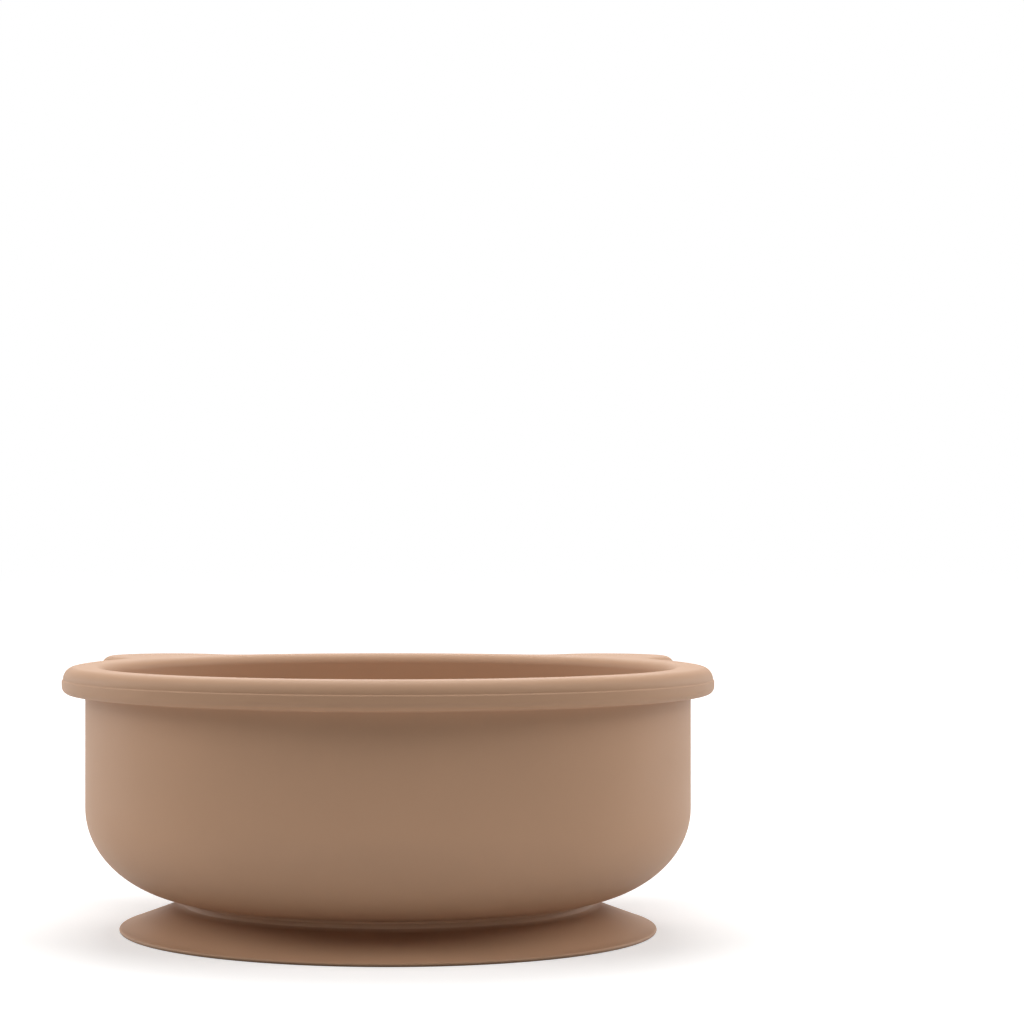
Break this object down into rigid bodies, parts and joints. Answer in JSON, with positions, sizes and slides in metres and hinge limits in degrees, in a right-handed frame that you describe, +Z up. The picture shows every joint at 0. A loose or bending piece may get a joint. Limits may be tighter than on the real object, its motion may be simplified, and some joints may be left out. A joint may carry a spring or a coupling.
{
  "type": "suction bowl",
  "caption": "Round silicone bowl with a rounded flange rim, bear ears and a face lined into its floor, standing on a wide suction cup that flattens when pressed.",
  "frame": {"origin": "on the bowl's axis, at the table that the suction cup's lip rests on", "axes": "+Z up along the bowl's axis, +Y towards the bear's ears, +X to the right of somebody who faces the ears from the other side"},
  "size_m": [0.13, 0.13, 0.0527],
  "materials": {
    "bowl_silicone": "matte",
    "cup_silicone": "matte"
  },
  "bodies": {
    "cup": {"suction_cup": "cup_silicone"},
    "bowl": {"bowl_shell": "bowl_silicone"}
  },
  "joints": [
    {"name": "press_down", "type": "slide", "parent": "cup", "child": "bowl", "axis": [0, 0, 1], "range_m": [-0.0025, 0], "stiffness_N_per_m": 8000, "springref_m": 0.0003, "deforming": ["suction_cup"]}
  ]
}
